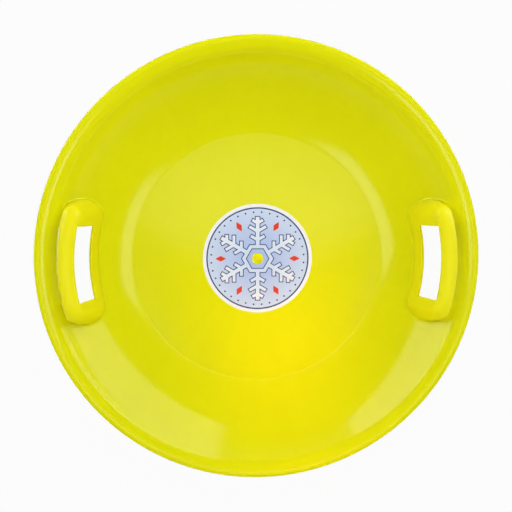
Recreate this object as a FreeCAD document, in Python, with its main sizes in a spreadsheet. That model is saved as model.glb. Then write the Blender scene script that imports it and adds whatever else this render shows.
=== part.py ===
"""Saucer sled: a moulded round disc with two clip-in hand grips and a round label.

Millimetres. The origin is the centre of the floor's underside, Z points up, and the grips lie on X.
"""
import FreeCAD
import Part
import Sketcher
import math
import os

doc = FreeCAD.newDocument("saucer_sled")

# Driving dimensions, one cell each
DRIVING_SIZES = (
    ("rim_diameter", 600.0),
    ("floor_diameter", 362.0),
    ("shell_wall", 2.4),
    ("flank_start_slope", 13.0),
    ("rim_axis_height", 66.0),
    ("rim_roll_radius", 12.0),
    ("lip_drop", 6.0),
    ("boss_diameter", 14.0),
    ("boss_height", 1.4),
    ("label_diameter", 160.0),
    ("label_thickness", 0.25),
    ("label_hole_clearance", 1.3),
    ("grip_rim_inset", 36.1),
    ("grip_crown_width", 20.0),
    ("grip_end_spacing", 130.0),
    ("grip_rise", 12.0),
    ("grip_draft", 14.5),
    ("grip_wall", 2.6),
    ("grip_shoulder_radius", 12.0),
    ("bar_width", 20.8),
    ("bar_depth", 9.0),
    ("slot_length", 100.0),
    ("sill_height", 42.0),
    ("slit_width", 8.6),
    ("window_clearance", 0.3),
    ("flange_width", 5.0),
    ("flange_thickness", 2.4),
    ("seat_gap", 0.25),
)

sheet = doc.addObject("Spreadsheet::Sheet", "Sizes")
for row, (alias, value) in enumerate(DRIVING_SIZES, start=1):
    sheet.set("A%d" % row, alias)
    sheet.set("B%d" % row, str(value))
    sheet.setAlias("B%d" % row, alias)
doc.recompute()

# Sizes that follow from the driving ones, shared by the pieces that fit together
fits = doc.addObject("App::VarSet", "Fits")


def follow(name, expression):
    """Keep a worked-out size in the document, tied to the sheet, and return it."""
    fits.addProperty("App::PropertyFloat", name)
    fits.setExpression(name, expression)
    doc.recompute()
    return getattr(fits, name)


rim_radius = follow("rim_radius", "Sizes.rim_diameter / 2")
floor_radius = follow("floor_radius", "Sizes.floor_diameter / 2")
boss_radius = follow("boss_radius", "Sizes.boss_diameter / 2")
boss_top = follow("boss_top", "Sizes.shell_wall + Sizes.boss_height")
roll_axis_radius = follow("roll_axis_radius", "Fits.rim_radius - Sizes.rim_roll_radius")
roll_inside = follow("roll_inside", "Sizes.rim_roll_radius - Sizes.shell_wall")

# The flank is one arc: it leaves the floor's edge at the start slope and runs tangent into the rim roll
follow("flank_run", "Fits.roll_axis_radius - Fits.floor_radius")
follow("flank_climb", "Sizes.rim_axis_height - Sizes.shell_wall")
flank_radius = follow(
    "flank_radius",
    "(Fits.flank_run^2 + Fits.flank_climb^2 - Sizes.rim_roll_radius^2)"
    " / (2 * (Sizes.rim_roll_radius + Fits.flank_climb * cos(Sizes.flank_start_slope)"
    " - Fits.flank_run * sin(Sizes.flank_start_slope)))")
flank_axis_radius = follow(
    "flank_axis_radius", "Fits.floor_radius - Fits.flank_radius * sin(Sizes.flank_start_slope)")
flank_axis_height = follow(
    "flank_axis_height", "Sizes.shell_wall + Fits.flank_radius * cos(Sizes.flank_start_slope)")

# The grip is a drafted pod, given where its sides would meet the level of its crown
follow("crown_height", "Sizes.rim_axis_height + Sizes.rim_roll_radius + Sizes.grip_rise")
follow("crown_outer", "Fits.rim_radius - Sizes.grip_rim_inset")
follow("crown_inner", "Fits.crown_outer - Sizes.grip_crown_width")
follow("pod_spread", "Fits.crown_height * tan(Sizes.grip_draft)")
follow("cavity_inset", "Sizes.grip_wall / cos(Sizes.grip_draft)")
follow("cavity_height", "Fits.crown_height - Sizes.grip_wall")
# The shoulder is rounded as far as the crown's own width leaves room for
follow("shoulder_room", "Sizes.grip_crown_width / 2 / tan((90 - Sizes.grip_draft) / 2)")
ROUNDED_SHARE = 0.95
follow("shoulder", "min(Sizes.grip_shoulder_radius; %g * Fits.shoulder_room)" % ROUNDED_SHARE)
follow("cavity_shoulder", "Fits.shoulder - Sizes.grip_wall")
follow("bar_inner", "Fits.crown_outer - Sizes.bar_width")
slot_half = follow("slot_half", "Sizes.slot_length / 2")
follow("flange_top", "Fits.flank_radius + Sizes.shell_wall + Sizes.seat_gap")
follow("flange_bottom", "Fits.flange_top + Sizes.flange_thickness")

# Turns in degrees: half of the disc, and a sector wide enough for one grip
HALF_TURN = 180
GRIP_SECTOR = 120

# An edge this close to a level lies on it
LEVEL_TOLERANCE = 0.01

X_AXIS = FreeCAD.Vector(1, 0, 0)
Y_AXIS = FreeCAD.Vector(0, 1, 0)

# Sketch element numbers for the sketch's own origin, vertical axis and point roles
ORIGIN = (-1, 1)
VERTICAL_AXIS = -2
START, END, CENTRE = range(1, 4)


def point(x, y):
    """A point of a sketch."""
    return FreeCAD.Vector(x, y, 0)


def line(x0, y0, x1, y1):
    """A straight edge of a sketch."""
    return Part.LineSegment(point(x0, y0), point(x1, y1))


def arc(x, y, radius, start, end):
    """A counter-clockwise arc of a sketch, angles in radians."""
    circle = Part.Circle(point(x, y), FreeCAD.Vector(0, 0, 1), radius)
    return Part.ArcOfCircle(circle, start, end)


def new_body(name):
    """An empty body."""
    return doc.addObject("PartDesign::Body", name)


def new_sketch(body, plane, lift=None):
    """A sketch on one of the body's own origin planes, raised by a named size."""
    sketch = body.newObject("Sketcher::SketchObject", body.Name + "_sketch")
    support = [feature for feature in body.Origin.OriginFeatures if feature.Role == plane][0]
    sketch.AttachmentSupport = [(support, "")]
    sketch.MapMode = "FlatFace"
    if lift:
        sketch.setExpression("AttachmentOffset.Base.z", lift)
    return sketch


def rule(sketch, kind, *elements):
    """A geometric constraint."""
    return sketch.addConstraint(Sketcher.Constraint(kind, *elements))


def dimension(sketch, name, expression, kind, *elements):
    """A named dimension bound to the sheet."""
    index = sketch.addConstraint(Sketcher.Constraint(kind, *elements))
    sketch.renameConstraint(index, name)
    sketch.setExpression("Constraints." + name, expression)


def pad(body, sketch, length):
    """The body's sketch raised straight up."""
    feature = body.newObject("PartDesign::Pad", body.Name + "_pad")
    feature.Profile = sketch
    feature.setExpression("Length", length)
    return feature


def revolve(body, sketch, degrees):
    """The body's sketch turned about Z, half to each side."""
    feature = body.newObject("PartDesign::Revolution", body.Name + "_revolution")
    feature.Profile = sketch
    feature.ReferenceAxis = (sketch, ["V_Axis"])
    feature.Angle = degrees
    feature.Midplane = True
    return feature


def cut(name, base, tool):
    """One shape less another."""
    feature = doc.addObject("Part::Cut", name)
    feature.Base = base
    feature.Tool = tool
    return feature


def half_disc():
    """The disc's wall section turned about Z on the +Y side: gate boss, floor, flank, rim roll and lip."""
    wall = sheet.shell_wall
    roll = sheet.rim_roll_radius
    axis_height = sheet.rim_axis_height
    slope = math.radians(sheet.flank_start_slope)
    lip_end = axis_height - sheet.lip_drop
    lip_inside = rim_radius - wall
    cap_radius = (boss_radius ** 2 + sheet.boss_height ** 2) / (2 * sheet.boss_height)
    cap_axis = boss_top - cap_radius
    cap_start = math.atan2(wall - cap_axis, boss_radius)
    floor_end = slope - math.pi / 2
    rise = flank_axis_height - axis_height
    run = roll_axis_radius - flank_axis_radius
    roll_end = math.pi - math.atan2(rise, run)
    flank_end = -math.atan2(rise, run)
    under_radius = flank_radius + wall
    under_start = -math.acos((floor_radius - flank_axis_radius) / under_radius)
    under_edge = flank_axis_radius + under_radius * math.cos(under_start)

    body = new_body("half_disc")
    sketch = new_sketch(body, "YZ_Plane")
    axis = sketch.addGeometry(line(0, 0, 0, boss_top))
    cap = sketch.addGeometry(arc(0, cap_axis, cap_radius, cap_start, math.pi / 2))
    floor_upper = sketch.addGeometry(line(boss_radius, wall, floor_radius, wall))
    flank_upper = sketch.addGeometry(
        arc(flank_axis_radius, flank_axis_height, flank_radius, floor_end, flank_end))
    roll_upper = sketch.addGeometry(arc(roll_axis_radius, axis_height, roll, 0, roll_end))
    lip_outer = sketch.addGeometry(line(rim_radius, axis_height, rim_radius, lip_end))
    lip_tip = sketch.addGeometry(
        arc(rim_radius - wall / 2, lip_end, wall / 2, math.pi, 2 * math.pi))
    lip_inner = sketch.addGeometry(line(lip_inside, lip_end, lip_inside, axis_height))
    roll_lower = sketch.addGeometry(arc(roll_axis_radius, axis_height, roll_inside, 0, roll_end))
    flank_lower = sketch.addGeometry(
        arc(flank_axis_radius, flank_axis_height, under_radius, under_start, flank_end))
    floor_lower = sketch.addGeometry(line(under_edge, 0, 0, 0))
    spoke = sketch.addGeometry(
        line(floor_radius, wall, flank_axis_radius, flank_axis_height), True)

    rule(sketch, "Coincident", axis, START, *ORIGIN)
    rule(sketch, "Vertical", axis)
    rule(sketch, "Coincident", cap, END, axis, END)
    rule(sketch, "PointOnObject", cap, CENTRE, VERTICAL_AXIS)
    rule(sketch, "Coincident", cap, START, floor_upper, START)
    rule(sketch, "Horizontal", floor_upper)
    rule(sketch, "Coincident", floor_upper, END, flank_upper, START)
    rule(sketch, "Tangent", flank_upper, END, roll_upper, END)
    rule(sketch, "Tangent", roll_upper, START, lip_outer, START)
    rule(sketch, "Vertical", lip_outer)
    rule(sketch, "Tangent", lip_outer, END, lip_tip, END)
    rule(sketch, "Tangent", lip_tip, START, lip_inner, START)
    rule(sketch, "Tangent", lip_inner, END, roll_lower, START)
    rule(sketch, "Coincident", roll_lower, CENTRE, roll_upper, CENTRE)
    rule(sketch, "Tangent", roll_lower, END, flank_lower, END)
    rule(sketch, "Coincident", flank_lower, CENTRE, flank_upper, CENTRE)
    rule(sketch, "Coincident", flank_lower, START, floor_lower, START)
    rule(sketch, "Coincident", floor_lower, END, *ORIGIN)
    rule(sketch, "Horizontal", floor_lower)
    rule(sketch, "Coincident", spoke, START, floor_upper, END)
    rule(sketch, "Coincident", spoke, END, flank_upper, CENTRE)

    dimension(sketch, "boss_top", "Fits.boss_top", "DistanceY", axis, START, axis, END, boss_top)
    dimension(sketch, "boss_radius", "Fits.boss_radius",
              "DistanceX", *ORIGIN, floor_upper, START, boss_radius)
    dimension(sketch, "wall", "Sizes.shell_wall", "DistanceY", *ORIGIN, floor_upper, START, wall)
    dimension(sketch, "floor_radius", "Fits.floor_radius",
              "DistanceX", *ORIGIN, floor_upper, END, floor_radius)
    dimension(sketch, "start_slope", "(90 + Sizes.flank_start_slope) * 1 deg",
              "Angle", spoke, math.pi / 2 + slope)
    dimension(sketch, "roll", "Sizes.rim_roll_radius", "Radius", roll_upper, roll)
    dimension(sketch, "roll_inside", "Fits.roll_inside", "Radius", roll_lower, roll_inside)
    dimension(sketch, "axis_height", "Sizes.rim_axis_height",
              "DistanceY", *ORIGIN, roll_upper, CENTRE, axis_height)
    dimension(sketch, "rim_radius", "Fits.rim_radius",
              "DistanceX", *ORIGIN, roll_upper, START, rim_radius)
    dimension(sketch, "lip_drop", "Sizes.lip_drop",
              "DistanceY", lip_outer, END, lip_outer, START, sheet.lip_drop)
    revolve(body, sketch, HALF_TURN)
    return body


def pod(name, offset, height, shoulder=None):
    """A pod that follows the rim's curve, with round ends and drafted sides, on the +X side.

    offset is how far its sides stand out from the grip's own, and shoulder rounds its upper edge.
    """
    inner = follow(name + "_inner", "Fits.crown_inner - Fits.pod_spread - (%s)" % offset)
    outer = follow(name + "_outer", "Fits.crown_outer + Fits.pod_spread + (%s)" % offset)
    middle = (inner + outer) / 2
    end_y = sheet.grip_end_spacing / 2
    turn = math.asin(end_y / middle)
    end_x = middle * math.cos(turn)
    end_radius = (outer - inner) / 2

    body = new_body(name)
    sketch = new_sketch(body, "XY_Plane")
    inner_side = sketch.addGeometry(arc(0, 0, inner, -turn, turn))
    outer_side = sketch.addGeometry(arc(0, 0, outer, -turn, turn))
    far_end = sketch.addGeometry(arc(end_x, end_y, end_radius, turn, turn + math.pi))
    near_end = sketch.addGeometry(
        arc(end_x, -end_y, end_radius, math.pi - turn, 2 * math.pi - turn))
    rule(sketch, "Coincident", inner_side, CENTRE, *ORIGIN)
    rule(sketch, "Coincident", outer_side, CENTRE, *ORIGIN)
    rule(sketch, "Tangent", inner_side, END, far_end, END)
    rule(sketch, "Tangent", outer_side, END, far_end, START)
    rule(sketch, "Tangent", inner_side, START, near_end, START)
    rule(sketch, "Tangent", outer_side, START, near_end, END)
    dimension(sketch, "inner", "Fits.%s_inner" % name, "Radius", inner_side, inner)
    dimension(sketch, "outer", "Fits.%s_outer" % name, "Radius", outer_side, outer)
    dimension(sketch, "far_y", "Sizes.grip_end_spacing / 2",
              "DistanceY", *ORIGIN, far_end, CENTRE, end_y)
    dimension(sketch, "near_y", "Sizes.grip_end_spacing / 2",
              "DistanceY", near_end, CENTRE, *ORIGIN, end_y)
    block = pad(body, sketch, height)
    block.setExpression("TaperAngle", "-Sizes.grip_draft * 1 deg")
    if shoulder:
        doc.recompute()
        level = block.Shape.BoundBox.ZMax
        upper = ["Edge%d" % number for number, edge in enumerate(block.Shape.Edges, start=1)
                 if abs(edge.BoundBox.ZMin - level) < LEVEL_TOLERANCE]
        rounding = body.newObject("PartDesign::Fillet", name + "_shoulder")
        rounding.Base = (block, upper)
        rounding.setExpression("Radius", shoulder)
    return body


def along_flank(name, upper, under=None):
    """A ring under the flank, between two arcs about the flank's own centre.

    With no under arc it is everything below the upper arc, out to the rim.
    """
    lean = math.atan2(flank_axis_height - sheet.rim_axis_height, roll_axis_radius - flank_axis_radius)
    first = math.radians(sheet.flank_start_slope) - math.pi / 2
    last = -lean
    high = getattr(fits, upper)
    body = new_body(name)
    sketch = new_sketch(body, "XZ_Plane")
    top = sketch.addGeometry(arc(flank_axis_radius, flank_axis_height, high, first, last))
    start_x = flank_axis_radius + high * math.cos(first)
    start_z = flank_axis_height + high * math.sin(first)
    end_x = flank_axis_radius + high * math.cos(last)
    end_z = flank_axis_height + high * math.sin(last)
    dimension(sketch, "axis_radius", "Fits.flank_axis_radius",
              "DistanceX", *ORIGIN, top, CENTRE, flank_axis_radius)
    dimension(sketch, "axis_height", "Fits.flank_axis_height",
              "DistanceY", *ORIGIN, top, CENTRE, flank_axis_height)
    dimension(sketch, "upper", "Fits." + upper, "Radius", top, high)
    if under:
        low = getattr(fits, under)
        bottom = sketch.addGeometry(arc(flank_axis_radius, flank_axis_height, low, first, last))
        inner_cut = sketch.addGeometry(
            line(start_x, start_z, flank_axis_radius + low * math.cos(first),
                 flank_axis_height + low * math.sin(first)))
        outer_cut = sketch.addGeometry(
            line(end_x, end_z, flank_axis_radius + low * math.cos(last),
                 flank_axis_height + low * math.sin(last)))
        rule(sketch, "Coincident", bottom, CENTRE, top, CENTRE)
        rule(sketch, "Coincident", inner_cut, START, top, START)
        rule(sketch, "Coincident", inner_cut, END, bottom, START)
        rule(sketch, "Coincident", outer_cut, START, top, END)
        rule(sketch, "Coincident", outer_cut, END, bottom, END)
        dimension(sketch, "under", "Fits." + under, "Radius", bottom, low)
    else:
        depth = -sheet.rim_axis_height
        ledge = sketch.addGeometry(line(end_x, end_z, rim_radius, end_z))
        outside = sketch.addGeometry(line(rim_radius, end_z, rim_radius, depth))
        base = sketch.addGeometry(line(rim_radius, depth, start_x, depth))
        inside = sketch.addGeometry(line(start_x, depth, start_x, start_z))
        rule(sketch, "Coincident", top, END, ledge, START)
        rule(sketch, "Coincident", ledge, END, outside, START)
        rule(sketch, "Coincident", outside, END, base, START)
        rule(sketch, "Coincident", base, END, inside, START)
        rule(sketch, "Coincident", inside, END, top, START)
        rule(sketch, "Horizontal", ledge)
        rule(sketch, "Vertical", outside)
        rule(sketch, "Horizontal", base)
        rule(sketch, "Vertical", inside)
        dimension(sketch, "outside", "Fits.rim_radius",
                  "DistanceX", *ORIGIN, outside, START, rim_radius)
        dimension(sketch, "depth", "Sizes.rim_axis_height",
                  "DistanceY", base, END, *ORIGIN, -depth)
    revolve(body, sketch, GRIP_SECTOR)
    return body


def curved_slot(name, inner, outer, lift, height):
    """A gap that follows the rim's curve between two radii, its ends square to Y."""
    near = follow(name + "_inner", inner)
    far = follow(name + "_outer", outer)
    near_turn = math.asin(slot_half / near)
    far_turn = math.asin(slot_half / far)
    body = new_body(name)
    sketch = new_sketch(body, "XY_Plane", lift)
    near_side = sketch.addGeometry(arc(0, 0, near, -near_turn, near_turn))
    far_side = sketch.addGeometry(arc(0, 0, far, -far_turn, far_turn))
    near_x = near * math.cos(near_turn)
    far_x = far * math.cos(far_turn)
    upper = sketch.addGeometry(line(near_x, slot_half, far_x, slot_half))
    lower = sketch.addGeometry(line(near_x, -slot_half, far_x, -slot_half))
    rule(sketch, "Coincident", near_side, CENTRE, *ORIGIN)
    rule(sketch, "Coincident", far_side, CENTRE, *ORIGIN)
    rule(sketch, "Coincident", upper, START, near_side, END)
    rule(sketch, "Coincident", upper, END, far_side, END)
    rule(sketch, "Coincident", lower, START, near_side, START)
    rule(sketch, "Coincident", lower, END, far_side, START)
    rule(sketch, "Horizontal", upper)
    rule(sketch, "Horizontal", lower)
    dimension(sketch, "near", "Fits.%s_inner" % name, "Radius", near_side, near)
    dimension(sketch, "far", "Fits.%s_outer" % name, "Radius", far_side, far)
    dimension(sketch, "half_up", "Fits.slot_half", "DistanceY", *ORIGIN, upper, START, slot_half)
    dimension(sketch, "half_down", "Fits.slot_half", "DistanceY", lower, START, *ORIGIN, slot_half)
    pad(body, sketch, height)
    return body


def fuse(name, base, tool):
    """Two shapes as one, with no seam left where their faces run on."""
    feature = doc.addObject("Part::Fuse", name)
    feature.Base = base
    feature.Tool = tool
    feature.Refine = True
    return feature


def mirrored(name, source, across):
    """The same shape on the other side of the disc, across the plane square to an axis."""
    feature = doc.addObject("Part::Mirroring", name)
    feature.Source = source
    feature.Normal = across
    return feature


def hand_grip():
    """A hollow pod that comes up through the shell's window and seats on a flange under the flank.

    Its inner wall is open above the sill for the fingers, and a slit outside frees the bar.
    """
    blister = pod("grip_blister", "0", "Fits.crown_height", "Fits.shoulder")
    cavity = pod("grip_cavity", "-Fits.cavity_inset", "Fits.cavity_height", "Fits.cavity_shoulder")
    skirt = pod("grip_skirt", "Sizes.flange_width", "Fits.crown_height")
    strip = along_flank("grip_seat", "flange_top", "flange_bottom")
    below = along_flank("grip_trim", "flange_bottom")
    finger_slot = curved_slot("grip_slot", "Fits.grip_blister_inner", "Fits.bar_inner",
                              "Sizes.sill_height", "Fits.crown_height")
    slit = curved_slot("grip_slit", "Fits.crown_outer", "Fits.crown_outer + Sizes.slit_width",
                       None, "Fits.crown_height")
    undercut = curved_slot("grip_undercut", "Fits.grip_blister_inner", "Fits.crown_outer + Sizes.slit_width",
                           "Sizes.sill_height", "Fits.crown_height - Sizes.bar_depth - Sizes.sill_height")
    flange = doc.addObject("Part::Common", "grip_flange")
    flange.Base = skirt
    flange.Tool = strip
    trimmed = cut("grip_trimmed", blister, below)
    joined = fuse("grip_joined", trimmed, flange)
    hollow = cut("grip_hollow", joined, cavity)
    opened = cut("grip_opened", hollow, finger_slot)
    freed = cut("grip_freed", opened, undercut)
    return cut("right_grip", freed, slit)


def saucer_shell():
    """The disc with a window at each side for the grips, as two like halves that meet on the grips' axis."""
    window = pod("window", "Sizes.window_clearance", "Fits.crown_height")
    right_cut = cut("shell_right_cut", half_disc(), window)
    back_half = cut("shell_back_half", right_cut, mirrored("left_window", window, X_AXIS))
    return fuse("saucer_shell", back_half, mirrored("shell_front_half", back_half, Y_AXIS))


def round_label():
    """A printed sticker on the floor, holed at the centre for the gate boss."""
    body = new_body("label")
    sketch = new_sketch(body, "XY_Plane", "Sizes.shell_wall")
    hole_radius = boss_radius + sheet.label_hole_clearance
    upright = FreeCAD.Vector(0, 0, 1)
    edge = sketch.addGeometry(Part.Circle(point(0, 0), upright, sheet.label_diameter / 2))
    hole = sketch.addGeometry(Part.Circle(point(0, 0), upright, hole_radius))
    rule(sketch, "Coincident", edge, CENTRE, *ORIGIN)
    rule(sketch, "Coincident", hole, CENTRE, *ORIGIN)
    dimension(sketch, "edge", "Sizes.label_diameter / 2", "Radius", edge, sheet.label_diameter / 2)
    dimension(sketch, "hole", "Fits.boss_radius + Sizes.label_hole_clearance", "Radius", hole, hole_radius)
    pad(body, sketch, "Sizes.label_thickness")
    return body


right_grip = hand_grip()
left_grip = mirrored("left_grip", right_grip, X_AXIS)
PIECES = (saucer_shell(), left_grip, right_grip, round_label())
doc.recompute()

for item in doc.Objects:
    if "Invalid" in item.State or "Error" in item.State:
        raise RuntimeError("%s did not build: %s" % (item.Name, item.State))
for piece in PIECES:
    if piece.Shape.isNull() or not piece.Shape.isValid() or len(piece.Shape.Solids) != 1:
        raise RuntimeError("%s is not one sound solid" % piece.Label)

os.makedirs("parts", exist_ok=True)
for piece in PIECES:
    piece.Shape.exportStep(os.path.join("parts", piece.Label + ".step"))
    box = piece.Shape.optimalBoundingBox(False)
    print("%s volume %.1f mm3, box %.2f %.2f %.2f to %.2f %.2f %.2f" % (
        piece.Label, piece.Shape.Volume, box.XMin, box.YMin, box.ZMin, box.XMax, box.YMax, box.ZMax))
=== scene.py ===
"""Saucer sled: the look of the moulded disc, its two hand grips and its round label, in metres."""

import bmesh
import bpy
import numpy as np
from mathutils import Matrix, Vector


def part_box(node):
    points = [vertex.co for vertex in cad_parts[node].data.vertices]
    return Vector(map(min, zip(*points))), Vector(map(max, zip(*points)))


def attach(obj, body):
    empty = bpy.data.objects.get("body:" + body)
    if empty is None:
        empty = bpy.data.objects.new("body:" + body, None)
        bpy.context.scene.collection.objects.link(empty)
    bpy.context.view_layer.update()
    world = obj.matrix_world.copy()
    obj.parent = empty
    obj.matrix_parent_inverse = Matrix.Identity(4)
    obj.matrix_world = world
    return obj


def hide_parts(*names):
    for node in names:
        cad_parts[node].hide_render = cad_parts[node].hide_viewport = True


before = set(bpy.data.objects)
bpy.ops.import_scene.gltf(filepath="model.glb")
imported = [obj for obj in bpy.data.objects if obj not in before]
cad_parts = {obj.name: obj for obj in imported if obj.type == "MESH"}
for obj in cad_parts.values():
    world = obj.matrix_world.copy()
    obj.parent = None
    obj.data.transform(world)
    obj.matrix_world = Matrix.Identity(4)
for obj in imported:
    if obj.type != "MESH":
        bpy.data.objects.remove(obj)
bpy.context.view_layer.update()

# Saucer shell: one disc of lime-yellow polypropylene, injection-moulded through a gate at its centre.
# A flat floor, a flank on one arc and a rim rolled over to a hanging lip, all of one wall thickness;
# a drafted window at each side takes a hand grip.
MM = 0.001
shell_low, shell_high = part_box("saucer_shell")
rim_radius = shell_high.x
shell_wall = 2.4 * MM
roll_radius = 12 * MM
roll_axis = rim_radius - roll_radius
roll_axis_height = shell_high.z - roll_radius
lip_drop = 6 * MM
lip_end = roll_axis_height - lip_drop
floor_radius = 181 * MM
floor_slope = np.radians(13)
crease_radius = 3 * MM
boss_radius = 7 * MM
boss_height = 1.4 * MM
window_clearance = 0.08 * MM
window_rounding = 0.6 * MM
collar_radius = 2.4 * MM
collar_turn = np.radians(72)

# The windows follow the grips' pods: an arc of even width with round ends, wider downwards by the draft
crown_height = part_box("right_grip")[1].z
crown_inset = 36.1 * MM
crown_outer = rim_radius - crown_inset
crown_half = 10 * MM
spine_radius = crown_outer - crown_half
end_y = 65 * MM
end_turn = np.arcsin(end_y / spine_radius)
end_x = spine_radius * np.cos(end_turn)
draft_angle = np.radians(14.5)
pod_draft = np.tan(draft_angle)

# The flank's arc leaves the floor at its slope, and its radius is the one that meets the solid's round roll
flank_run = roll_axis - floor_radius
flank_climb = roll_axis_height - shell_wall
flank_radius = ((flank_run ** 2 + flank_climb ** 2 - roll_radius ** 2)
                / (2 * (roll_radius + flank_climb * np.cos(floor_slope) - flank_run * np.sin(floor_slope))))
flank_axis = floor_radius - flank_radius * np.sin(floor_slope)
flank_axis_height = shell_wall + flank_radius * np.cos(floor_slope)

# The rim rolls over from the flank in five bends: two for a broad shoulder, a tight ridge, an almost level
# top and the edge. The lip under the edge spreads by its draft to the full radius.
rim_slopes = np.radians([56.5, 26, 15, -2, -12, -80])
rim_bends = np.array([21, 40, 3, 23]) * MM
lip_spread = 2.6 * MM
flank_end = rim_slopes[0]
rim_falls = -np.diff(np.sin(rim_slopes))
edge_start = flank_axis + flank_radius * np.sin(flank_end) + np.dot(rim_bends, rim_falls[:-1])
rim_bends = np.append(rim_bends, (rim_radius - lip_spread - edge_start) / rim_falls[-1])

# A small arc eases the edge between floor and flank
crease_axis_height = shell_wall + crease_radius
crease_axis = flank_axis + np.sqrt((flank_radius - crease_radius) ** 2
                                   - (flank_axis_height - crease_axis_height) ** 2)
flank_start = np.arcsin((crease_axis - flank_axis) / (flank_radius - crease_radius))

# The rings round a window run in towards its middle, halfway between its two long sides
window_inset = 5 * MM
window_middle = np.arcsin((spine_radius - window_inset - flank_axis) / flank_radius)
halvings = 40


def hollow_arc(axis, height, radius, slopes):
    """Section of a hollow arc, and the way up to its centre from each point.

    A point is the centre plus the radius times (sin, -cos) of its slope.
    """
    away = np.stack([np.sin(slopes), -np.cos(slopes)], axis=-1)
    return np.array([axis, height]) + radius * away, -away


def rolled_line(start, bends, slopes):
    """Section of bends in a row after a start, and the way out of it at each point.

    Each step is the bend's radius times the fall in (sin, -cos) of the slope.
    """
    steps = 10
    fine = np.interp(np.arange(len(bends) * steps + 1) / steps, np.arange(len(slopes)), slopes)
    turned = np.stack([np.sin(fine), -np.cos(fine)], axis=-1)
    moves = np.repeat(bends, steps)[:, None] * np.diff(turned, axis=0)
    return start - np.cumsum(moves, axis=0), -turned[1:]


def wall_section():
    """Section of the wall: out along the upper face, round the lip's tip and back along the under face.

    The upper face is boss, floor, crease, flank, rim and lip. The under face is the upper one past the boss,
    moved in by the wall along its normal. The flank's slopes and its rows in both faces come with it.
    """
    boss_steps, floor_steps, crease_steps, flank_steps, lip_steps, tip_steps = 7, 25, 5, 30, 2, 8
    boss_r = np.linspace(0, boss_radius, boss_steps + 1)[:-1]
    boss_line = np.stack([boss_r, shell_wall + boss_height * (1 - (boss_r / boss_radius) ** 2)], axis=-1)
    floor_r = np.linspace(boss_radius, crease_axis, floor_steps + 1)[:-1]
    floor_line = np.stack([floor_r, np.full_like(floor_r, shell_wall)], axis=-1)
    floor_way = np.tile([0.0, 1.0], (floor_steps, 1))
    crease_line, crease_way = hollow_arc(crease_axis, crease_axis_height, crease_radius,
                                         np.linspace(0, flank_start, crease_steps + 1)[:-1])
    flank_slopes = np.linspace(flank_start, flank_end, flank_steps + 1)
    flank_line, flank_way = hollow_arc(flank_axis, flank_axis_height, flank_radius, flank_slopes)
    rim_line, rim_way = rolled_line(flank_line[-1], rim_bends, rim_slopes)
    lip_line = np.linspace(rim_line[-1], [rim_radius, lip_end], lip_steps + 1)[1:]
    lip_way = np.tile([1.0, 0.0], (lip_steps, 1))
    upper = np.concatenate([floor_line, crease_line, flank_line, rim_line, lip_line])
    under = upper - shell_wall * np.concatenate([floor_way, crease_way, flank_way, rim_way, lip_way])
    tip_turns = np.linspace(0, -np.pi, tip_steps + 1)[1:-1]
    tip = np.stack([rim_radius - shell_wall / 2 * (1 - np.cos(tip_turns)),
                    lip_end + shell_wall / 2 * np.sin(tip_turns)], axis=-1)
    section = np.concatenate([boss_line, upper, tip, under[::-1], [[0.0, 0.0]]])
    upper_rows = boss_steps + floor_steps + crease_steps + np.arange(flank_steps + 1)
    under_rows = len(section) - 2 - (upper_rows - boss_steps)
    return section, flank_slopes, upper_rows, under_rows


def flank_point(azimuth, slope, depth):
    """Point of the flank at a depth below its upper face: the arc at a slope, turned about Z."""
    reach = flank_axis + (flank_radius + depth) * np.sin(slope)
    height = flank_axis_height - (flank_radius + depth) * np.cos(slope)
    return np.stack([reach * np.cos(azimuth), reach * np.sin(azimuth), height + 0 * azimuth], axis=-1)


def pod_distance(x, y):
    """Distance in plan from the pod's crown, negative inside: from the spine's arc or an end's centre."""
    beside = np.abs(np.hypot(x, y) - spine_radius)
    beyond = np.hypot(x - end_x, np.abs(y) - end_y)
    return np.where(np.abs(np.arctan2(y, x)) <= end_turn, beside, beyond) - crown_half


def window_outline(azimuth, slope, depth, grow):
    """Where rays from the window's middle to (azimuth, slope) leave the drafted pod, found by halving."""
    near = np.zeros_like(azimuth)
    far = np.ones_like(azimuth)
    for _ in range(halvings):
        share = (near + far) / 2
        spot = flank_point(share * azimuth, window_middle + share * (slope - window_middle), depth)
        reach = (crown_height - spot[:, 2]) * pod_draft + grow
        inside = pod_distance(spot[:, 0], spot[:, 1]) < reach
        near = np.where(inside, share, near)
        far = np.where(inside, far, share)
    return near * azimuth, window_middle + near * (slope - window_middle)


def window_block(loop_azimuth, loop_slope, face_depth, edge_radius, edge_turns):
    """Rows of points in one face of the flank, from a loop in to a window's edge and up round that edge.

    The first rows share out the way from the loop to the edge. The edge's rows follow an arc: off the pod by
    its radius times 1 - sin of the turn, and up from the face by its radius times 1 - cos.
    """
    rings = 14
    growths = window_clearance + edge_radius * (1 - np.sin(edge_turns))
    depths = face_depth - edge_radius * (1 - np.cos(edge_turns))
    edge_azimuth, edge_slope = window_outline(loop_azimuth, loop_slope, face_depth, growths[0])
    share = np.linspace(0, 1, rings + 1)[1:, None]
    face_rows = flank_point(loop_azimuth + share * (edge_azimuth - loop_azimuth),
                            loop_slope + share * (edge_slope - loop_slope), face_depth)
    edge_rows = [flank_point(*window_outline(loop_azimuth, loop_slope, depth, grow), depth)
                 for depth, grow in zip(depths[1:], growths[1:])]
    return np.concatenate([face_rows, edge_rows])


def quads_between(ids, closed):
    """Quads of a grid of point numbers, each over two rows and columns; closed joins last to first."""
    after = np.roll(ids, -1, axis=1) if closed else ids[:, 1:]
    here = ids if closed else ids[:, :-1]
    return np.stack([here[:-1], after[:-1], after[1:], here[1:]], axis=-1).reshape(-1, 4)


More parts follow.
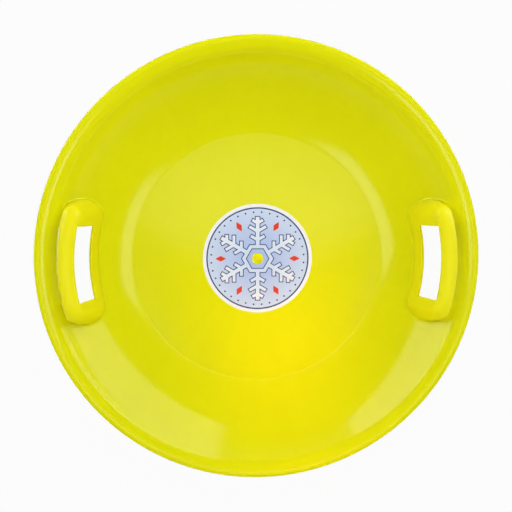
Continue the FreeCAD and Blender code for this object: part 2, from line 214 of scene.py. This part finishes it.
def mesh_piece(name, points, quads, sharp_angle, closed=True):
    """One mesh from the points that its quads use, like points merged; a closed one's faces turn outwards."""
    merge_distance = 0.002 * MM
    used, corners = np.unique(quads, return_inverse=True)
    mesh = bpy.data.meshes.new(name)
    mesh.from_pydata(points.reshape(-1, 3)[used].tolist(), [], corners.reshape(-1, 4).tolist())
    work = bmesh.new()
    work.from_mesh(mesh)
    bmesh.ops.remove_doubles(work, verts=work.verts[:], dist=merge_distance)
    if closed:
        bmesh.ops.recalc_face_normals(work, faces=work.faces[:])
    work.to_mesh(mesh)
    work.free()
    mesh.shade_smooth()
    mesh.set_sharp_from_angle(angle=np.radians(sharp_angle))
    piece = bpy.data.objects.new(name, mesh)
    bpy.context.scene.collection.objects.link(piece)
    return piece


def turned_grid(section, columns):
    """A section of (radius, height) points turned about Z: its rows, and one column for each azimuth."""
    azimuths = np.arange(columns) * 2 * np.pi / columns
    return np.stack([section[:, :1] * np.cos(azimuths), section[:, :1] * np.sin(azimuths),
                     np.repeat(section[:, 1:], columns, axis=1)], axis=-1)


def saucer_mesh():
    """The disc: its wall section turned about Z, with the cells round each window redone as rings of quads.

    The rings start on a loop of the grid's own points, and those of the two faces meet in the window's edge.
    """
    section, flank_slopes, upper_rows, under_rows = wall_section()
    columns = 360
    grid = turned_grid(section, columns)
    ids = np.arange(grid.shape[0] * columns).reshape(-1, columns)
    cells = quads_between(ids, True).reshape(-1, columns, 4)
    keep = np.ones(cells.shape[:2], bool)
    points = [grid.reshape(-1, 3)]
    quads = []
    count = ids.size

    # The loop runs round a patch of the flank that holds the whole window
    half_span = 27
    across = np.arange(-half_span, half_span + 1)
    last = len(flank_slopes) - 1
    side = np.arange(1, last)
    loop_row = np.concatenate([np.zeros_like(across), side, np.full_like(across, last), side[::-1]])
    loop_column = np.concatenate([across, np.full_like(side, half_span), across[::-1],
                                  np.full_like(side, -half_span)])
    loop_azimuth = loop_column * 2 * np.pi / columns
    loop_slope = flank_slopes[loop_row]

    # The upper face turns up to a low collar round the pod; the under face has a small round edge
    collar_turns = np.linspace(0, collar_turn, 7)
    round_turns = np.linspace(0, np.pi / 2, 4)
    collar = window_block(loop_azimuth, loop_slope, 0.0, collar_radius, collar_turns)
    round_edge = window_block(loop_azimuth, loop_slope, shell_wall, window_rounding, round_turns)
    for turned, facing in ((0, 1), (columns // 2, -1)):
        edge_ids = []
        for rows, block in ((upper_rows, collar), (under_rows, round_edge)):
            low_row = min(rows[0], rows[-1])
            keep[low_row:low_row + last, (across[:-1] + turned) % columns] = False
            block_ids = count + np.arange(block.shape[0] * block.shape[1]).reshape(block.shape[:2])
            count += block_ids.size
            points.append((block * np.array([facing, facing, 1])).reshape(-1, 3))
            loop_ids = ids[rows[loop_row], (loop_column + turned) % columns]
            quads.append(quads_between(np.concatenate([loop_ids[None], block_ids]), True))
            edge_ids.append(block_ids[-1])
        quads.append(quads_between(np.stack(edge_ids), True))
    quads.append(cells[keep])
    return mesh_piece("saucer_disc", np.concatenate(points), np.concatenate(quads), sharp_angle=40)


def feed(tree, socket, value):
    """Gives a shader socket its value, or a link where the value is a socket itself."""
    if isinstance(value, bpy.types.NodeSocket):
        tree.links.new(value, socket)
    else:
        socket.default_value = value


def add_node(tree, kind, **inputs):
    """A shader node with its named inputs fed."""
    node = tree.nodes.new(kind)
    for key, value in inputs.items():
        feed(tree, node.inputs[key.replace("_", " ")], value)
    return node


def maths(tree, operation, *values):
    """A Math node's result."""
    node = tree.nodes.new("ShaderNodeMath")
    node.operation = operation
    for socket, value in zip(node.inputs, values):
        feed(tree, socket, value)
    return node.outputs[0]


def mixed(tree, share, first, second):
    """Two colours mixed by a share."""
    node = tree.nodes.new("ShaderNodeMix")
    node.data_type = "RGBA"
    colour_sockets = [s for s in node.inputs if s.type == "RGBA"]
    for socket, value in zip([node.inputs[0], *colour_sockets], (share, first, second)):
        feed(tree, socket, value)
    return [s for s in node.outputs if s.type == "RGBA"][0]


def moulded_plastic(name, colour, deep_colour, rough_low, rough_high):
    """Moulded polypropylene: faint flow streaks out from the gate, cloudy tone, and a fine satin grain."""
    streak_share, cloud_share = 0.45, 0.55
    material = bpy.data.materials.new(name)
    material.use_nodes = True
    tree = material.node_tree
    shader = tree.nodes["Principled BSDF"]
    shader.inputs["IOR"].default_value = 1.49
    place = tree.nodes.new("ShaderNodeTexCoord").outputs["Object"]
    parts = add_node(tree, "ShaderNodeSeparateXYZ", Vector=place).outputs
    level = add_node(tree, "ShaderNodeCombineXYZ", X=parts["X"], Y=parts["Y"]).outputs[0]
    ray = tree.nodes.new("ShaderNodeVectorMath")
    ray.operation = "NORMALIZE"
    tree.links.new(level, ray.inputs[0])
    streaks = add_node(tree, "ShaderNodeTexNoise", Vector=ray.outputs[0], Scale=9.0, Detail=4.0).outputs[0]
    clouds = add_node(tree, "ShaderNodeTexNoise", Vector=place, Scale=16.0, Detail=3.0).outputs[0]
    tone = maths(tree, "ADD", maths(tree, "MULTIPLY", streaks, streak_share),
                 maths(tree, "MULTIPLY", clouds, cloud_share))
    share = add_node(tree, "ShaderNodeMapRange", Value=tone, From_Min=0.3, From_Max=0.7).outputs[0]
    tree.links.new(mixed(tree, share, colour, deep_colour), shader.inputs["Base Color"])
    rough = add_node(tree, "ShaderNodeMapRange", Value=clouds, From_Min=0.25, From_Max=0.75,
                     To_Min=rough_low, To_Max=rough_high).outputs[0]
    tree.links.new(rough, shader.inputs["Roughness"])
    grain = add_node(tree, "ShaderNodeTexNoise", Vector=place, Scale=1100.0, Detail=2.0).outputs[0]
    bump = add_node(tree, "ShaderNodeBump", Strength=0.10, Distance=0.05 * MM, Height=grain)
    tree.links.new(bump.outputs[0], shader.inputs["Normal"])
    return material


lime, deep_lime = (0.795, 0.785, 0.003, 1), (0.765, 0.76, 0.002, 1)
saucer = saucer_mesh()
saucer.data.materials.append(moulded_plastic("lime_polypropylene", lime, deep_lime, 0.10, 0.14))
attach(saucer, "root")
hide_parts("saucer_shell")

# Hand grips: two hollow pods of warmer yellow polypropylene, pushed up through the windows until their
# flanges seat under the flank. A slot inside the bar takes the fingers, and a slit outside frees the bar.
grip_wall = 2.6 * MM
grip_rounding = 0.6 * MM
crown_radius = 12 * MM
crown_reach = crown_radius * np.tan((np.pi / 2 - draft_angle) / 2)
dome_start = 44 * MM
dome_reach = 30 * MM
dome_drop = 7 * MM
bar_width = 20.8 * MM
bar_depth = 9 * MM
bar_foot = crown_height - bar_depth
slot_half = 50 * MM
slot_share = 0.8
sill_height = 42 * MM
flange_width = 5 * MM
seat_gap = 0.25 * MM
flange_arc = flank_radius + shell_wall + seat_gap


def grip_columns():
    """Columns round the pod: the inner side up +Y, the far end, the outer side back, the near end.

    A column holds its kind (-1 inner side, 1 outer side, 0 end), its place along the side from -1 to 1 or its
    angle round the end, the end's sign, and whether it lies in the slot.
    """
    slot_columns, tower_columns, end_columns = 41, 5, 31
    slot = np.linspace(-slot_share, slot_share, slot_columns)
    tower = np.linspace(slot_share, 1, tower_columns + 1)[1:]
    along = np.concatenate([-tower[::-1], slot, tower])
    round_end = np.linspace(0, np.pi, end_columns + 2)[1:-1]
    on_slot = np.repeat([False, True, False], [tower_columns, slot_columns, tower_columns])
    no_end, no_slot = np.zeros(len(along)), np.zeros(end_columns, bool)
    one_end = np.ones(end_columns)
    kind = np.concatenate([no_end - 1, 0 * one_end, no_end + 1, 0 * one_end])
    spot = np.concatenate([along, np.pi + end_turn - round_end, along[::-1], -end_turn - round_end])
    sign = np.concatenate([no_end, one_end, no_end, -one_end])
    return kind, spot, sign, np.concatenate([on_slot, no_slot, on_slot, no_slot])


def pod_plan(kind, spot, sign, offset):
    """Plan point of each column at an offset out from the crown outline.

    On the sides the radius is the spine's, less or more the half width and offset; y goes evenly along the
    slot and then up to the end's azimuth. On the ends it is the end's centre plus half width and offset.
    """
    radius = spine_radius + kind * (crown_half + offset)
    share = np.abs(spot)
    reach = radius * np.sin(end_turn)
    beyond = np.clip((share - slot_share) / (1 - slot_share), 0, 1)
    y_side = np.sign(spot) * np.where(share <= slot_share, slot_half * share / slot_share,
                                      slot_half + (reach - slot_half) * beyond)
    x_side = np.sqrt(np.maximum(radius ** 2 - y_side ** 2, 0))
    x_end = end_x + (crown_half + offset) * np.cos(spot)
    y_end = sign * end_y + (crown_half + offset) * np.sin(spot)
    on_end = kind == 0
    return np.where(on_end, x_end, x_side), np.where(on_end, y_end, y_side)


def seat_height(columns, extra):
    """Height at which the drafted side, moved out by extra, meets the flange's arc, found by halving."""
    low = np.zeros(len(columns[0]))
    high = np.full(len(columns[0]), crown_height)
    for _ in range(halvings):
        middle = (low + high) / 2
        x, y = pod_plan(*columns, (crown_height - middle) * pod_draft + extra)
        reach = np.hypot(x, y) - flank_axis
        arc = flank_axis_height - np.sqrt(np.maximum(flange_arc ** 2 - reach ** 2, 0))
        below = middle < arc
        low = np.where(below, middle, low)
        high = np.where(below, high, middle)
    return low


def grip_mesh(name, side):
    """One pod as a skin on a grid: flange, drafted wall, and a rounded crown up to the spine.

    Past the slot the skin falls with the square of the way along, most at the crown, so the ends are domed.
    Quads in the finger slot and the slit are left out, and a hem turns the bar's two edges down to its foot.
    """
    flange_rows, sill_rows, wall_rows, hem_rows = 3, 6, 10, 3
    inner_rows, middle_rows, top_rows = 4, 2, 8
    kind, spot, sign, in_slot = grip_columns()
    columns = (kind, spot, sign)
    wall_top = crown_height - crown_reach * np.cos(draft_angle)
    seat = seat_height(columns, 0.0)
    sill_share = (sill_height - seat[0]) / (wall_top - seat[0])
    wall_shares = np.concatenate([np.linspace(0, sill_share, sill_rows + 1)[:-1],
                                  np.linspace(sill_share, 1, wall_rows + 1)])
    bar_inner = crown_outer - bar_width
    inner_turn = np.arccos((crown_reach + spine_radius - crown_half - bar_inner) / crown_radius)
    outer_turn = np.arccos(crown_reach / crown_radius)
    crown_turns = np.concatenate([np.linspace(draft_angle, inner_turn, inner_rows + 1)[1:],
                                  np.linspace(inner_turn, outer_turn, middle_rows + 1)[1:],
                                  np.linspace(outer_turn, np.pi / 2, top_rows + 1)[1:]])

    rows = []
    for extra in np.linspace(flange_width, 0, flange_rows + 1)[:-1]:
        height = seat_height(columns, extra)
        rows.append((*pod_plan(*columns, (crown_height - height) * pod_draft + extra), height))
    for share in wall_shares:
        height = seat + share * (wall_top - seat)
        rows.append((*pod_plan(*columns, (crown_height - height) * pod_draft), height))
    for turn in crown_turns:
        height = np.full_like(seat, crown_height - crown_radius * (1 - np.sin(turn)))
        rows.append((*pod_plan(*columns, crown_radius * np.cos(turn) - crown_reach), height))
    rows.append((*pod_plan(*columns, -crown_half), np.full_like(seat, crown_height)))
    grid = np.array(rows).transpose(0, 2, 1)
    past_bar = np.maximum(np.abs(grid[:, :, 1]) - dome_start, 0)
    climb = np.clip((grid[:, :, 2] - seat) / (crown_height - seat), 0, 1)
    grid[:, :, 2] -= dome_drop * (past_bar / dome_reach) ** 2 * climb ** 2
    ids = np.arange(grid.shape[0] * grid.shape[1]).reshape(grid.shape[:2])
    cells = quads_between(ids, True).reshape(-1, grid.shape[1], 4)

    inner_edge = flange_rows + len(wall_shares) + inner_rows - 1
    outer_edge = inner_edge + middle_rows
    row_of = np.arange(cells.shape[0])[:, None]
    both = in_slot & np.roll(in_slot, -1)
    finger_slot = (row_of >= flange_rows + sill_rows) & (row_of < inner_edge) & both & (kind == -1)
    slit = (row_of >= flange_rows) & (row_of < outer_edge) & both & (kind == 1)
    quads = [cells[~(finger_slot | slit)]]
    points = [grid.reshape(-1, 3)]
    count = ids.size
    for edge, part in ((inner_edge, -1), (outer_edge, 1)):
        on_edge = np.flatnonzero(in_slot & (kind == part))
        top = grid[edge, on_edge]
        steps = np.linspace(0, 1, hem_rows + 1)[1:, None]
        hem = np.repeat(top[None], hem_rows, axis=0)
        hem[:, :, 2] = top[:, 2] + steps * (bar_foot - top[:, 2])
        hem_ids = count + np.arange(hem.shape[0] * hem.shape[1]).reshape(hem.shape[:2])
        count += hem_ids.size
        points.append(hem.reshape(-1, 3))
        quads.append(quads_between(np.concatenate([ids[edge, on_edge][None], hem_ids])[::-1], False))
    skin = np.concatenate(points)
    faces = np.concatenate(quads)
    if side < 0:
        skin = skin * np.array([-1.0, 1.0, 1.0])
    else:
        faces = faces[:, ::-1]
    sharp_angle = 50
    piece = mesh_piece(name, skin, faces, sharp_angle, closed=False)
    wall = piece.modifiers.new("wall", "SOLIDIFY")
    wall.thickness = grip_wall
    wall.offset = -1
    wall.use_even_offset = True
    rounding = piece.modifiers.new("rounded_edges", "BEVEL")
    rounding.width = grip_rounding
    rounding.segments = 2
    rounding.limit_method = "ANGLE"
    rounding.angle_limit = np.radians(sharp_angle)
    return piece


warm_yellow, deep_yellow = (0.91, 0.845, 0.004, 1), (0.88, 0.818, 0.003, 1)
grip_finish = moulded_plastic("warm_yellow_polypropylene", warm_yellow, deep_yellow, 0.36, 0.42)
for side, node in ((-1, "left_grip"), (1, "right_grip")):
    grip = grip_mesh(node + "_pod", side)
    grip.data.materials.append(grip_finish)
    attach(grip, "root")
    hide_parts(node)

# Label: a round sticker of printed film, a quarter of a millimetre thick, pressed flat on the floor.
# A punched hole at its centre clears the gate boss.
label_low, label_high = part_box("label")
label_radius = label_high.x
label_top = label_high.z
label_foot = label_low.z
label_clearance = 1.3 * MM
label_hole = boss_radius + label_clearance


def label_mesh():
    """A flat ring: its section is a thin rectangle with eased upper edges, turned about Z."""
    ease = 0.1 * MM
    rings, columns = 40, 240
    radii = np.linspace(label_hole + ease, label_radius - ease, rings)
    section = np.concatenate([[[label_hole, label_foot], [label_hole, label_top - ease]],
                              np.stack([radii, np.full_like(radii, label_top)], axis=-1),
                              [[label_radius, label_top - ease], [label_radius, label_foot]]])
    grid = turned_grid(section, columns)
    ids = np.arange(grid.shape[0] * columns).reshape(-1, columns)
    quads = quads_between(np.concatenate([ids, ids[:1]]), True)
    return mesh_piece("round_label", grid, quads, sharp_angle=40)


def farthest(tree, *values):
    """The largest of several values: the distance from the common part of shapes."""
    result = values[0]
    for value in values[1:]:
        result = maths(tree, "MAXIMUM", result, value)
    return result


def crystal_distance(tree, along, beside):
    """Distance in mm from a snow crystal, negative inside, in coordinates along and beside its nearest arm.

    The arm is a straight bar, each branch a shorter bar at 60 degrees to it, and a hexagon joins the arms.
    """
    arm_start, arm_end, arm_half = 17.0, 61.0, 2.8
    branches = ((27.5, 11.5), (40.0, 14.0), (52.0, 9.0))
    branch_half = 2.1
    hexagon_reach, hexagon_half = 17.5, 2.4
    slant, rise = np.cos(np.radians(60)), np.sin(np.radians(60))
    shape = farthest(tree, maths(tree, "SUBTRACT", beside, arm_half), maths(tree, "SUBTRACT", along, arm_end),
                     maths(tree, "SUBTRACT", arm_start, along))
    for root, length in branches:
        past_root = maths(tree, "SUBTRACT", along, root)
        out = maths(tree, "ADD", maths(tree, "MULTIPLY", past_root, slant),
                    maths(tree, "MULTIPLY", beside, rise))
        off = maths(tree, "ABSOLUTE", maths(tree, "SUBTRACT", maths(tree, "MULTIPLY", past_root, rise),
                                            maths(tree, "MULTIPLY", beside, slant)))
        bar = farthest(tree, maths(tree, "SUBTRACT", off, branch_half), maths(tree, "SUBTRACT", out, length),
                       maths(tree, "SUBTRACT", -arm_half, out))
        shape = maths(tree, "MINIMUM", shape, bar)
    ring = maths(tree, "ABSOLUTE", maths(tree, "SUBTRACT", along, hexagon_reach))
    return maths(tree, "MINIMUM", shape, maths(tree, "SUBTRACT", ring, hexagon_half))


def printed_film():
    """Printed film: a six-armed snow crystal with a dark outline on an icy ground, and red diamonds between.

    The angle about the label's centre is folded six times, so one arm's shape draws all six.
    """
    navy, red, white = (0.004, 0.032, 0.19, 1), (0.72, 0.045, 0.015, 1), (0.88, 0.90, 0.93, 1)
    ice, frost, mist = (0.62, 0.74, 0.93, 1), (0.40, 0.52, 0.84, 1), (0.62, 0.72, 0.90, 1)
    arms, outline, frost_reach = 6, 1.3, 18.0
    border_reach, ring_reach, ring_half = 75.0, 74.0, 1.0
    diamond_reach, diamond_long, diamond_wide = 54.0, 8.0, 4.2
    dot_count, dot_reach, dot_radius = 36, 68.0, 1.3

    material = bpy.data.materials.new("printed_film")
    material.use_nodes = True
    tree = material.node_tree
    shader = tree.nodes["Principled BSDF"]
    place = tree.nodes.new("ShaderNodeTexCoord").outputs["Object"]
    parts = add_node(tree, "ShaderNodeSeparateXYZ", Vector=place).outputs
    across = maths(tree, "DIVIDE", parts["X"], MM)
    up = maths(tree, "DIVIDE", parts["Y"], MM)
    reach = maths(tree, "SQRT", maths(tree, "ADD", maths(tree, "MULTIPLY", across, across),
                                      maths(tree, "MULTIPLY", up, up)))
    angle = maths(tree, "ARCTAN2", across, up)

    def folded(start, count):
        """Coordinates along and beside the nearest of a count of rays, the first one at a start angle."""
        turned = maths(tree, "PINGPONG", maths(tree, "SUBTRACT", angle, start), np.pi / count)
        return (maths(tree, "MULTIPLY", reach, maths(tree, "COSINE", turned)),
                maths(tree, "MULTIPLY", reach, maths(tree, "SINE", turned)))

    crystal = crystal_distance(tree, *folded(0.0, arms))
    along, beside = folded(np.pi / arms, arms)
    past_diamond = maths(tree, "ABSOLUTE", maths(tree, "SUBTRACT", along, diamond_reach))
    diamond = maths(tree, "ADD", maths(tree, "DIVIDE", past_diamond, diamond_long),
                    maths(tree, "DIVIDE", beside, diamond_wide))
    along, beside = folded(np.pi / dot_count, dot_count)
    past_dot = maths(tree, "SUBTRACT", along, dot_reach)
    dot = maths(tree, "SQRT", maths(tree, "ADD", maths(tree, "MULTIPLY", past_dot, past_dot),
                                    maths(tree, "MULTIPLY", beside, beside)))
    ring = maths(tree, "ABSOLUTE", maths(tree, "SUBTRACT", reach, ring_reach))

    far = add_node(tree, "ShaderNodeMapRange", Value=reach, From_Min=frost_reach,
                   From_Max=ring_reach).outputs[0]
    crystal_colour = mixed(tree, far, ice, white)
    print_colour = mixed(tree, far, frost, mist)
    print_colour = mixed(tree, maths(tree, "LESS_THAN", dot, dot_radius), print_colour, navy)
    print_colour = mixed(tree, maths(tree, "LESS_THAN", diamond, 1.0), print_colour, red)
    print_colour = mixed(tree, maths(tree, "LESS_THAN", crystal, outline), print_colour, navy)
    print_colour = mixed(tree, maths(tree, "LESS_THAN", crystal, 0.0), print_colour, crystal_colour)
    print_colour = mixed(tree, maths(tree, "LESS_THAN", ring, ring_half), print_colour, navy)
    print_colour = mixed(tree, maths(tree, "GREATER_THAN", reach, border_reach), print_colour, white)
    tree.links.new(print_colour, shader.inputs["Base Color"])
    sheen = add_node(tree, "ShaderNodeTexNoise", Vector=place, Scale=60.0, Detail=3.0).outputs[0]
    rough = add_node(tree, "ShaderNodeMapRange", Value=sheen, From_Min=0.25, From_Max=0.75, To_Min=0.34,
                     To_Max=0.44).outputs[0]
    tree.links.new(rough, shader.inputs["Roughness"])
    bump = add_node(tree, "ShaderNodeBump", Strength=0.15, Distance=0.05 * MM, Height=sheen)
    tree.links.new(bump.outputs[0], shader.inputs["Normal"])
    return material


label = label_mesh()
label.data.materials.append(printed_film())
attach(label, "root")
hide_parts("label")

# Studio floor: a plain white sheet under the sled. It shows as white to the eye and in reflections near the
# sled, greys into the room with distance, and keeps a faint soft shadow of the sled.
floor_half = 30.0
floor_gap = 0.3 * MM
white_reach, grey_reach = 1.2, 7.0
horizon_level, room_level = 0.35, 0.04
glow_share = 0.95
floor_mesh = bpy.data.meshes.new("studio_floor")
floor_corners = floor_half * np.array([[-1.0, -1.0, 0.0], [1.0, -1.0, 0.0],
                                       [1.0, 1.0, 0.0], [-1.0, 1.0, 0.0]])
floor_corners[:, 2] = shell_low.z - floor_gap
floor_mesh.from_pydata(floor_corners.tolist(), [], [[0, 1, 2, 3]])
studio_floor = bpy.data.objects.new("studio_floor", floor_mesh)
bpy.context.scene.collection.objects.link(studio_floor)


def seen_ray(tree):
    """1 for rays from the eye, from a gloss or through glass, and 0 for the light that falls on things."""
    path = tree.nodes.new("ShaderNodeLightPath").outputs
    return maths(tree, "MAXIMUM", path["Is Camera Ray"],
                 maths(tree, "MAXIMUM", path["Is Glossy Ray"], path["Is Transmission Ray"]))


floor_paper = bpy.data.materials.new("white_paper")
floor_paper.use_nodes = True
paper = floor_paper.node_tree
sheet = paper.nodes["Principled BSDF"]
sheet.inputs["Base Color"].default_value = (0.5, 0.5, 0.5, 1)
sheet.inputs["Roughness"].default_value = 1.0
paper_place = paper.nodes.new("ShaderNodeTexCoord").outputs["Object"]
paper_reach = paper.nodes.new("ShaderNodeVectorMath")
paper_reach.operation = "LENGTH"
paper.links.new(paper_place, paper_reach.inputs[0])
paper_level = add_node(paper, "ShaderNodeMapRange", Value=paper_reach.outputs["Value"], From_Min=white_reach,
                       From_Max=grey_reach, To_Min=1.0, To_Max=horizon_level).outputs[0]
glow = add_node(paper, "ShaderNodeEmission", Strength=paper_level)
shown = paper.nodes.new("ShaderNodeMixShader")
paper.links.new(maths(paper, "MULTIPLY", seen_ray(paper), glow_share), shown.inputs[0])
paper.links.new(sheet.outputs[0], shown.inputs[1])
paper.links.new(glow.outputs[0], shown.inputs[2])
paper.links.new(shown.outputs[0], paper.nodes["Material Output"].inputs["Surface"])
floor_mesh.materials.append(floor_paper)

# Studio light: a wide overhead panel and smaller panels behind and in front give the level. Two upright soft
# boxes behind the sled and a skylight between two ceiling lamps give the gloss its shapes, and a small warm
# lamp stands in front. The room is a plain grey, paler at the horizon.
horizon_top = 0.35
scene = bpy.context.scene
scene.view_settings.view_transform = "Standard"
room = bpy.data.worlds.new("studio_room")
scene.world = room
room.use_nodes = True
walls = room.node_tree
walls.nodes["Background"].inputs["Color"].default_value = (1.0, 1.0, 1.0, 1)
wall_way = add_node(walls, "ShaderNodeSeparateXYZ",
                    Vector=walls.nodes.new("ShaderNodeTexCoord").outputs["Generated"]).outputs["Z"]
wall_level = add_node(walls, "ShaderNodeMapRange", Value=wall_way, From_Min=0.0, From_Max=horizon_top,
                      To_Min=horizon_level, To_Max=room_level).outputs[0]
walls.links.new(wall_level, walls.nodes["Background"].inputs["Strength"])


def soft_box(name, place, aim, width, height, brightness, colour, glare):
    """A rectangular lamp at a place, turned to face a point; its power is pi times its brightness and area.

    A lamp without glare has a polarising sheet before it: it lights colours and leaves no gloss.
    """
    lamp = bpy.data.lights.new(name, "AREA")
    lamp.shape = "RECTANGLE"
    lamp.size = width
    lamp.size_y = height
    lamp.energy = np.pi * brightness * width * height
    lamp.color = colour
    lamp.cycles.use_multiple_importance_sampling = glare
    holder = bpy.data.objects.new(name, lamp)
    holder.matrix_world = (Matrix.Translation(place)
                           @ (Vector(aim) - Vector(place)).to_track_quat("-Z", "Y").to_matrix().to_4x4())
    holder.visible_glossy = glare
    scene.collection.objects.link(holder)
    return lamp


daylight, lamplight = (1.0, 1.0, 1.0), (1.0, 0.42, 0.02)
soft_box("overhead_panel", (0.0, 0.0, 1.5), (0.0, 0.0, 0.0), 8.0, 8.0, 0.58, daylight, False)
soft_box("back_panel", (0.0, 0.45, 0.7), (0.0, 0.45, 0.0), 0.9, 0.4, 1.0, daylight, False)
soft_box("front_panel", (0.0, -1.8, 0.9), (0.0, 0.0, 0.1), 2.2, 1.2, 0.65, daylight, False)
ellipse_share = np.pi / 4
skylight = soft_box("skylight", (1.57, 0.4, 30.0), (1.57, 0.4, 0.0), 13.6, 6.8, 0.8 * ellipse_share,
                    daylight, True)
skylight.shape = "ELLIPSE"
soft_box("left_ceiling_lamp", (-7.77, -7.81, 30.0), (-0.74, -4.0, 0.0), 11.8, 6.35, 1.9, daylight, True)
soft_box("right_ceiling_lamp", (11.97, -5.0, 30.0), (4.14, -3.36, 0.0), 10.8, 6.0, 1.9, daylight, True)
soft_box("left_soft_box", (-2.76, 2.76, 1.03), (-0.16, 2.76, 1.03), 4.46, 2.16, 1.65, daylight, True)
soft_box("right_soft_box", (1.96, 1.774, 1.10), (0.15, 0.2, 1.10), 3.2, 2.3, 1.4, daylight, True)
warm_lamp = soft_box("warm_lamp", (0.07, -0.33, 0.9), (0.04, -0.14, 0.0), 0.15, 0.26, 0.5, lamplight, False)
warm_lamp.spread = np.radians(20)

# Camera: above the sled, a little to the left and behind, looking almost straight down, with +Y up
eye = Vector((-41.95, 79.0, 807.2)) * MM
aim = Vector((-5.23, 9.22, 60.0)) * MM
picture_width = 512
focal_pixels = 552.2
back = (eye - aim).normalized()
right = Vector((0.0, 1.0, 0.0)).cross(back).normalized()
turn = Matrix((right, back.cross(right), back)).transposed()
lens = bpy.data.cameras.new("photo_camera")
lens.sensor_width = 36.0
lens.lens = lens.sensor_width * focal_pixels / picture_width
camera = bpy.data.objects.new("photo_camera", lens)
camera.matrix_world = Matrix.Translation(eye) @ turn.to_4x4()
scene.collection.objects.link(camera)
scene.camera = camera
